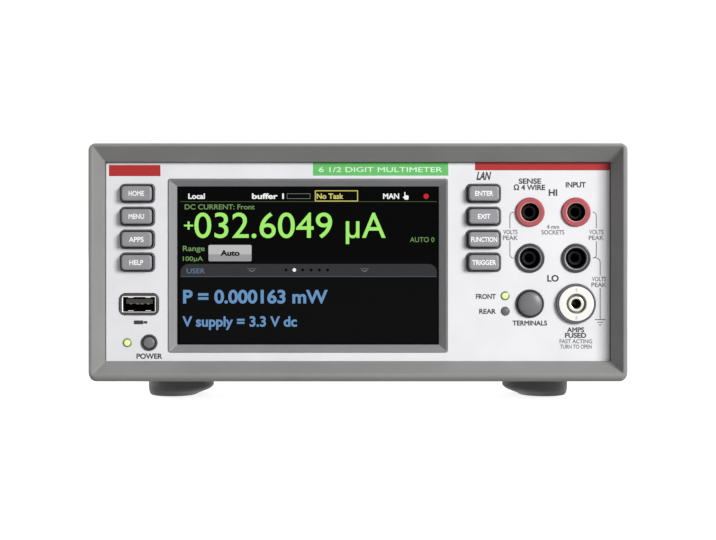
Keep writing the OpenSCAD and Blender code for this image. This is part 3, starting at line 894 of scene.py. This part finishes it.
def rear_ports():
    """Black linings that paint the shade inside the network and USB device sockets, and gilt contacts in
    them.
    """
    x, z = middle("network_port")
    walls = [block(REAR, (x + x0, x + x1, z + z0, z + z1, LEAST_CORNER), -12.9, front, corner_steps=1)
             for x0, x1, z0, z1, front in PORT_SHADE_WALLS]
    contacts = []
    for i in range(8):
        a = x + 1.02 * (i - 3.5)
        rings = [(a - 0.2, a + 0.2, z + low, z + high, 0.05, p)
                 for low, high, p in ((1.6, 2.0, -10), (4.2, 4.6, -2))]
        contacts.append(loft(REAR, rings, corner_steps=2))
    x, z = middle("usb_device_port")
    walls.append(tube(REAR, x, z, 8.6, 7.8, 0.1, (0.04, 0.24), (-10.9, -0.4), corner_steps=2))
    # A black sleeve over the device socket's tongue, as painted shade.
    walls.append(loft(REAR, [around(x, z, 5.66, 3.06, 0.15, p) for p in (-10.8, -1.45)]))
    for i in (-1.3, 1.3):
        for j in (-1.57, 1.57):
            ring = (x + i - 0.4, x + i + 0.4, z + j - 0.03, z + j + 0.03, LEAST_CORNER)
            contacts.append(block(REAR, ring, -10, -2.2, corner_steps=1))
    # Painted shade: black linings and a black sleeve over the device socket's tongue.
    add_piece("rear_port_shade_linings", join(walls), FINISHES["black_plastic"])
    add_piece("rear_port_contacts", join(contacts), CONTACT_GOLD)


# Matt black that reflects nothing: paints the shade in deep hollows.
PAINTED_SHADE = Finish("painted_cavity_shade", (0.006, 0.006, 0.006), 0.95, level=0.0)
CONTACT_GOLD = plated("contact_gold", (0.78, 0.55, 0.2), 0.25)
LAMP_RIM = Finish("lamp_rim", rgb(104, 122, 78), 0.3).glow(rgb(110, 130, 78), 0.12)


def lamp(node, lit_up):
    """A small round indicator with a domed face; a lit one has a darker edge."""
    x, z = middle(node)
    r = (box(node)[1].x - box(node)[0].x) / 2
    slot = "lamp_lit" if lit_up else "lamp_dark"
    profile = [(0, -11), (r, -11), (r, 0.02), (r * 0.75, 0.3), (r * 0.4, 0.5), (0, 0.58)]
    mesh = turned(FRONT, x, z, profile, [0, 0, 0.15, 0.3, 0.3], segments=40)
    add_moulding(node + "_lens", mesh, slot, node, angle=DOME_ANGLE)
    if lit_up:
        ring = turned(FRONT, x, z, [(r - 0.5, 0.1), (r + 0.1, 0.01), (r + 0.1, 0.25), (r - 0.45, 0.5)],
                      [0, 0, 0.1, 0.1], segments=40)
        smooth(add_piece(node + "_edge", ring, LAMP_RIM))


def foot(node):
    """A round rubber foot, steep outside and tapered inside, with a screw recess below."""
    low, high = box(node)
    cx, cy, top = (low.x + high.x) / 2, (low.y + high.y) / 2, high.z
    out = 1 if cx > 0 else -1
    r = (high.x - low.x) / 2
    rings = [  # middle, radius and height of each circle down the outside and up the recess
        (cx, 2.25, top), (cx, r, top), (cx, r, 3.8), (cx + out * 0.8, 13.3, 2.5), (cx + out * 2.7, 11.1, 0.9),
        (cx + out * 3.3, 9.9, 0), (cx, 4.6, 0), (cx, 4.6, 7), (cx, 2.25, 7),
    ]
    radii = [0, 0.6, 0.8, 0.8, 0.8, 0.4, 0.4, 0.3]
    spans = rounded([(c - r, c + r, 0, 0, r, h) for c, r, h in rings], radii, True, 5)
    loops = [level_ring((x0 + x1) / 2, cy, r, h, 72) for x0, x1, _, _, r, h in spans]
    add_moulding(node + "_moulding", skin(loops, True), "foot_rubber", node)


# --- legends ---

def front_legends():
    """Printing on the front panel."""
    def words(items, **kw):
        return [lettering(FRONT, text, x, z, cap, width, **kw) for text, x, z, cap, width in items]

    left, right, floor, top = OPENING
    edge = top - 0.02
    jack_x, hi_z = JACKS["sense_hi"]
    input_x, lo_z = JACKS["input_lo"]
    between = (jack_x + input_x) / 2
    amps_x, amps_z = middle("amps_holder")
    button_x, button_z = middle("terminals_button")
    lamp_x, front_z = middle("front_light")
    rear_z = middle("rear_light")[1]
    power_x, power_z = middle("power_button")
    bold = words([
        ("SENSE", jack_x, hi_z + 11.8, 2.05, 9.1),
        ("Ω 4 WIRE", jack_x - 0.2, hi_z + 9.2, 2.05, 12.8),
        ("HI", between, hi_z + 6.85, 2.5, 3.3),
        ("INPUT", input_x - 0.1, hi_z + 10.3, 2.05, 8.1),
        ("LO", between, lo_z - 9.6, 2.5, 4.5),
        ("FRONT", lamp_x - 8.0, front_z - 1.25, 1.9, 8.1),
        ("REAR", lamp_x - 7.3, rear_z - 1.0, 1.9, 6.7),
        ("TERMINALS", button_x, button_z - 8.95, 1.9, 14.1),
        ("AMPS", amps_x - 0.1, amps_z - 11.8, 1.9, 6.9),
        ("FUSED", amps_x - 0.1, amps_z - 14.1, 1.9, 8.6),
        ("POWER", power_x + 0.05, power_z - 6.6, 2.0, 10.4),
    ], bold=0.035)
    bold.append(lettering(FRONT, "LAN", jack_x - 19.4, hi_z + 13.45, 3.1, 5.3, bold=0.04, slant=0.2))
    add_piece("panel_words", join(bold), INKS["dark"])
    left_x, right_x, ground_x = jack_x - 8.3, input_x + 8.4, input_x + 10.0
    peaks = ((left_x + 0.2, hi_z - 9.1), (right_x, hi_z - 9.1), (ground_x - 0.5, lo_z - 9.5))
    items = [("VOLTS", x, z, 1.75, 5.8) for x, z in peaks]
    items += [("PEAK", x, z - 2.4, 1.75, 6.1) for x, z in peaks]
    items += [
        ("FAST ACTING", amps_x, amps_z - 16.4, 1.6, 13.4),
        ("TURN TO OPEN", amps_x, amps_z - 18.6, 1.6, 13.0),
        ("4 mm", between, hi_z - 6.9, 1.7, 5.0),
        ("SOCKETS", between, hi_z - 9.2, 1.7, 9.4),
    ]
    add_piece("panel_fine_words", join(words(items, bold=0.02)), INKS["grey"])
    turn = 1.5
    strokes = []
    for x, out in ((left_x, turn), (right_x, -turn)):
        strokes.append(bend(x + out, hi_z, x, hi_z - turn) + [(x, hi_z - 6.7)])
        strokes.append(bend(x + out, lo_z, x, lo_z + turn) + [(x, hi_z - 12.0)])
    strokes.append(bend(right_x - turn * 0.6, lo_z + 0.3, ground_x, lo_z - turn) + [(ground_x, lo_z - 7.2)])
    strokes.append([(ground_x, lo_z - 12.4), (ground_x, amps_z - 6.4)])
    for i, half in enumerate((2.2, 1.2, 0.5)):
        z = amps_z - 6.6 - i * 1.1
        strokes.append([(ground_x - half, z), (ground_x + half, z)])
    lines = [stroke(FRONT, points, 0.3) for points in strokes]
    add_piece("panel_lines", join(lines), INKS["dark"])
    stick_x, stick_z = middle("usb_shell")[0] + 0.4, middle("usb_shell")[1] - 7.5
    stick = [
        plate(FRONT, stick_x - 2.6, stick_x + 1.4, stick_z - 0.8, stick_z + 0.8, 0.35),
        plate(FRONT, stick_x + 1.5, stick_x + 3.0, stick_z - 0.5, stick_z + 0.5, 0.1),
    ]
    add_piece("port_symbol", join(stick), INKS["dark"])
    badge_x = middle("left_key_frame")[0] - 1.15
    red = [
        plate(FRONT, badge_x - 10.65, badge_x + 10.65, top - 5.8, top - 1.2, 0.15),
        plate(FRONT, jack_x - 22.75, right - 0.05, top - 3.4, edge, 0.05),
    ]
    add_piece("panel_red_marks", join(red), INKS["red"])
    # Painted shade: thin dark lines along the right, left and top edges of the panel opening, where the
    # bezel's slopes shade it.
    edge_shade_lines = [plate(FRONT, *place, proud=0.03) for place in (
        (right - 0.4, right - 0.02, floor, edge),
        (left + 0.02, left + 0.3, floor, edge),
        (left, right, top - 0.25, edge),
    )]
    add_piece("panel_edge_shade", join(edge_shade_lines), INKS["dark"])
    label_x = middle("touch_glass")[0] + 30.1
    label = plate(FRONT, label_x - 28, label_x + 28, top - 5.6, edge, 0.1)
    add_piece("panel_green_label", label, INKS["green"])
    title = lettering(FRONT, "6 1/2 DIGIT MULTIMETER", label_x, top - 4.1, 2.0, 51,
                      proud=INK_THICK + INK_LIFT, bold=0.008)
    add_piece("panel_label_words", title, INKS["pale_green"])


def rear_legends():
    """Printing on the rear panel."""
    sense_x, hi_z = JACKS["sense_hi"]
    input_x, lo_z = JACKS["input_lo"]
    port_x, port_z = middle("network_port")
    device_x = middle("usb_device_port")[0]
    inlet_x = middle("power_inlet")[0]
    between = (sense_x + input_x) / 2
    items = [
        ("SENSE", sense_x, hi_z + 9, 2.2),
        ("INPUT", input_x, hi_z + 9, 2.2),
        ("HI", between, hi_z - 1, 2.2),
        ("LO", between, lo_z - 1, 2.2),
        ("LAN", port_x, port_z - 11, 2.2),
        ("DEVICE", device_x, port_z - 11, 2.2),
        ("LINE", inlet_x + 21, 34, 2.2),
        ("FUSE", inlet_x + 21, 56.5, 2.2),
        ("REAR TERMINALS", between, lo_z - 12, 2.0),
    ]
    meshes = [lettering(REAR, text, x, z, cap, flip=True, bold=0.01) for text, x, z, cap in items]
    add_piece("rear_words", join(meshes), INKS["dark"])


# --- the picture on the display ---

class Screen:
    """The glass, in millimetres from its left edge and down from its top."""

    def __init__(self):
        x, z = middle("touch_glass")
        low, high = box("display_surround")
        self.w, self.h = high.x - low.x - 10.8, high.z - low.z - 9.9
        self.left, self.top = x - self.w / 2, z + self.h / 2
        self.proud = FRONT.reach("touch_glass")[1]
        self.layers = {}

    def depth(self, layer):
        """How far out a layer of the picture lies."""
        return self.proud + layer * 0.03

    def put(self, colour, mesh):
        self.layers.setdefault(colour, []).append(mesh)

    def text(self, colour, words, u, v, cap, width=None, bold=0.01, align="left", layer=1):
        x, z = self.left + u, self.top - v
        self.put(colour, lettering(FRONT, words, x, z, cap, width, align, self.depth(layer), bold))

    def area(self, colour, u0, u1, v0, v1, r=0.0, layer=0):
        x0, x1, z0, z1 = self.left + u0, self.left + u1, self.top - v1, self.top - v0
        self.put(colour, plate(FRONT, x0, x1, z0, z1, r, self.depth(layer)))

    def outline(self, colour, u0, u1, v0, v1, line):
        for bar in ((u0, u1, v0, v0 + line), (u0, u1, v1 - line, v1), (u0, u0 + line, v0, v1),
                    (u1 - line, u1, v0, v1)):
            self.area(colour, *bar, layer=1)

    def dot(self, colour, u, v, r):
        low = self.depth(2)
        high = low + INK_THICK
        profile = [(0, low), (r, low), (r, high), (0, high)]
        self.put(colour, turned(FRONT, self.left + u, self.top - v, profile, segments=20))

    def show(self):
        for colour, meshes in self.layers.items():
            add_piece("picture_" + colour, join(meshes), PICTURE[colour])


def tab(screen, u0, u1, v0, v1, r):
    """The strip with two round top corners over the lower half."""
    steps = 8
    turn = [math.pi / 2 * k / steps for k in range(steps + 1)]
    points = [(u0, v1)]
    points += [(u0 + r - r * math.cos(a), v0 + r - r * math.sin(a)) for a in turn]
    points += [(u1 - r + r * math.sin(a), v0 + r - r * math.cos(a)) for a in turn]
    points.append((u1, v1))
    made = bmesh.new()
    depth = screen.proud + 0.02
    rows = [[made.verts.new(FRONT.at(screen.left + u, screen.top - v, depth + d)) for u, v in points]
            for d in (0, 0.01)]
    for row in rows:
        made.faces.new(row)
    add_walls(made, *rows)
    bmesh.ops.recalc_face_normals(made, faces=made.faces)
    screen.put("tab", as_mesh(made))


def picture():
    """What the display shows: status line, main reading, range button, swipe tab and two results."""
    s = Screen()
    s.area("black", 1.4, s.w - 0.9, 37.6, s.h - 0.9)
    s.text("white", "Local", 4.7, 5.1, 2.1, 6.7, 0.03)
    s.text("white", "buffer 1", 31.2, 5.1, 2.1, 13.0, 0.03)
    s.outline("grey", 45.6, 55.3, 2.95, 5.15, 0.18)
    s.outline("yellow", 57.2, 75.1, 1.65, 6.25, 0.35)
    s.text("yellow", "No Task", 58.0, 5.1, 2.1, 10.9, 0.028)
    s.text("white", "MAN", 85.6, 5.1, 2.1, 6.5, 0.03)
    hand(s, 94.0, 2.3)
    s.dot("red", 103.4, 4.1, 1.1)
    s.area("olive", 1.3, s.w - 0.9, 6.2, 6.42)
    s.text("dim_green", "DC CURRENT: Front", 3.2, 9.5, 2.0, 28.9, 0.014)
    s.text("green", "+", 2.9, 18.7, 4.7, 3.7, 0.01)
    s.text("green", "032.6049", 7.2, 21.3, 10.25, 57.1, 0.004)
    s.text("green", "µA", 70.1, 21.3, 10.25, 16.4, 0.004)
    s.text("dim_green", "AUTO 0", s.w - 1.9, 23.1, 2.0, 10.1, 0.004, "right")
    s.text("dim_green", "Range", 2.4, 26.8, 2.1, 9.0, 0.014)
    s.text("dim_green", "100µA", 2.4, 30.9, 1.8, 8.3, 0.014)
    s.area("button_low", 13.0, 30.9, 24.3, 31.1, 0.6, 0)
    s.area("button", 13.0, 30.9, 24.3, 28.2, 0.6, 1)
    s.text("ink", "Auto", 18.2, 28.7, 2.1, 7.6, 0.045, layer=2)
    tab(s, 1.4, s.w - 0.9, 32.2, 37.4, 3.4)
    s.area("tab_line", 1.4, s.w - 0.9, 37.35, 37.6, layer=1)
    s.text("dim_blue", "USER", 4.0, 36.1, 2.0, 7.5, 0.004)
    for i in range(6):
        s.dot("white" if i == 1 else "ink", 45.2 + 3.46 * i, 34.7, 0.75 if i == 1 else 0.6)
    for u in (31.0, 77.8):
        s.area("grey", u - 1.9, u + 1.9, 34.1, 34.25, layer=2)
        x, high, low = s.left + u, s.top - 34.7, s.top - 35.4
        s.put("grey", stroke(FRONT, [(x - 1.2, high), (x, low), (x + 1.2, high)], 0.3, s.depth(2)))
    s.text("blue", "P = 0.000163 mW", 2.7, 48.4, 5.2, 59.5, 0.03)
    s.text("blue", "V supply = 3.3 V dc", 2.4, 58.1, 4.0, 47.2, 0.028)
    s.show()


def hand(screen, u, v):
    """A small pointing hand: one raised finger over a rounded palm."""
    screen.area("white", u + 0.35, u + 0.8, v, v + 2.0, 0.2, 1)
    screen.area("white", u + 0.3, u + 2.1, v + 1.4, v + 3.2, 0.5, 1)
    screen.area("white", u - 0.2, u + 0.6, v + 1.9, v + 2.5, 0.2, 1)


# --- inside ---

def board_parts():
    """Components on the main board, seen only through the slots."""
    low, high = box("main_board")
    top = high.z
    bodies, cans = [], []
    for i in range(6):
        for j in range(4):
            x, y = low.x + 18 + 15 * i, low.y + 120 + 22 * j
            w, d, h = (9, 12, 2.2) if (i + j) % 3 else (6, 6, 3)
            ring = (x - w / 2, x + w / 2, top + 0.05, top + h, 0.2)
            bodies.append(block(Side(0, 1), ring, y - d / 2, y + d / 2))
    for i in range(5):
        x, y = high.x - 14, high.y - 20 - 16 * i
        profile = rounded([(0, 0.05), (5, 0.05), (5, 18), (0, 18)], [0, 0.4, 0.8], False)
        cans.append(skin([level_ring(x, y, r, top + h, 32) for r, h in profile], False))
    smooth(add_piece("board_chips", join(bodies), FINISHES["black_plastic"]))
    smooth(add_piece("board_capacitors", join(cans), FINISHES["bare_aluminium"]))


# --- stage ---

def stage():
    """A pale bowl of floor and wall, soft studio lights, and the camera in front of the panel."""
    profile = rounded([(0, 0), (9, 0), (9, 9)], [0, 4], False, steps=12)
    segments = 48
    made = bmesh.new()
    rows = [[made.verts.new((x, y, z)) for x, y in circle(r, segments)] for r, z in profile[1:]]
    centre = made.verts.new((0, 0, 0))
    for i in range(segments):
        j = (i + 1) % segments
        made.faces.new((centre, rows[0][i], rows[0][j]))
        for low, high in zip(rows, rows[1:]):
            made.faces.new((low[i], high[i], high[j], low[j]))
    mesh = as_mesh(made, "floor")
    mesh.polygons.foreach_set("use_smooth", [True] * len(mesh.polygons))
    floor = in_scene("floor", mesh)
    paper = Finish("studio_paper", (0.5, 0.5, 0.5), 0.9, level=0.05).glow((1, 1, 1), 0.86)
    paper.tint(paper.noise(400, 2), 0.004)
    paper.material.cycles.emission_sampling = "NONE"
    mesh.materials.append(paper.material)
    floor.visible_diffuse = False
    floor.location.z = -0.0002

    world = bpy.data.worlds.new("studio")
    bpy.context.scene.world = world
    world.use_nodes = True
    sky = world.node_tree.nodes["Background"]
    socket(sky, "Color", (1, 1, 1, 1))
    socket(sky, "Strength", 0.3)

    aim = Vector((0, FRONT.face, middle("front_panel")[1])) * MM
    for name, place, size, power in (
        ("key", (1.15, -1.42, 0.62), 0.6, 34),
        ("top", (0.0, 0.1, 1.9), 1.6, 13),
        ("back", (-0.9, 1.7, 1.3), 1.8, 15),
        ("side", (-1.7, 0.5, 0.7), 1.4, 12),
    ):
        light = bpy.data.lights.new(name, "AREA")
        light.size, light.energy = size, power
        holder = in_scene(name, light)
        holder.location = place
        holder.rotation_mode = "QUATERNION"
        holder.rotation_quaternion = (aim - Vector(place)).to_track_quat("-Z", "Y")

    lens = bpy.data.cameras.new("camera")
    camera = in_scene("camera", lens)
    lens.sensor_width = 36
    lens.lens = 72.9
    lens.shift_y = -0.07
    camera.location = FRONT.at(0, 76.3, 600)
    camera.rotation_euler = (math.pi / 2, 0, 0)
    bpy.context.scene.camera = camera
    bpy.context.scene.view_settings.view_transform = "Standard"


# --- build ---

SOFT_EDGES = {
    "front_panel": 0.15, "top_cover": 0.25, "rear_panel": 0.15, "card_slot_cover": 0.3,
    "left_key_frame": 0.3, "right_key_frame": 0.3, "usb_surround": 0.25, "usb_tongue": 0.15,
    "power_inlet": 0.4, "line_fuse_drawer": 0.3, "inlet_pins": 0.35, "network_port": 0.2,
    "usb_device_port": 0.2, "touch_glass": 0.15, "cover_screws": 0.15, "foot_screws": 0.15,
    "chassis_base": 0.2, "main_board": 0.2, "front_board": 0.2, "analog_shield": 0.3,
    "power_transformer": 0.8,
}


def build():
    """Dresses the CAD nodes, then adds the drawn pieces."""
    for row in frame["record"]["subparts"]:
        piece = frame["nodes"][row["node"]]
        for place in piece.material_slots:
            place.material = FINISHES[row["material_slot"]].material
    frame["nodes"]["usb_surround"].material_slots[0].material = COLLAR.material
    for node, width in SOFT_EDGES.items():
        soften(node, width)
    stage()
    bumper("front_bezel", FRONT, 2.0)
    bumper("rear_bumper", REAR, 6.0)
    display_frame()
    for word, width in KEY_WORDS.items():
        key_cap(word, width)
    round_cap("power_button", 1.2, 1.0, 0.35, 0.5)
    round_cap("terminals_button", 2.0, 3.0, 0.9, 0.9)
    round_collar("power_collar", 0.3)
    round_collar("terminals_collar", 0.35)
    jacks()
    amps_jack()
    usb_socket()
    rear_ports()
    lamp("power_light", True)
    lamp("front_light", True)
    lamp("rear_light", False)
    for end in ("front", "rear"):
        for hand_side in ("left", "right"):
            foot(f"{end}_{hand_side}_foot")
    front_legends()
    rear_legends()
    picture()
    board_parts()


build()
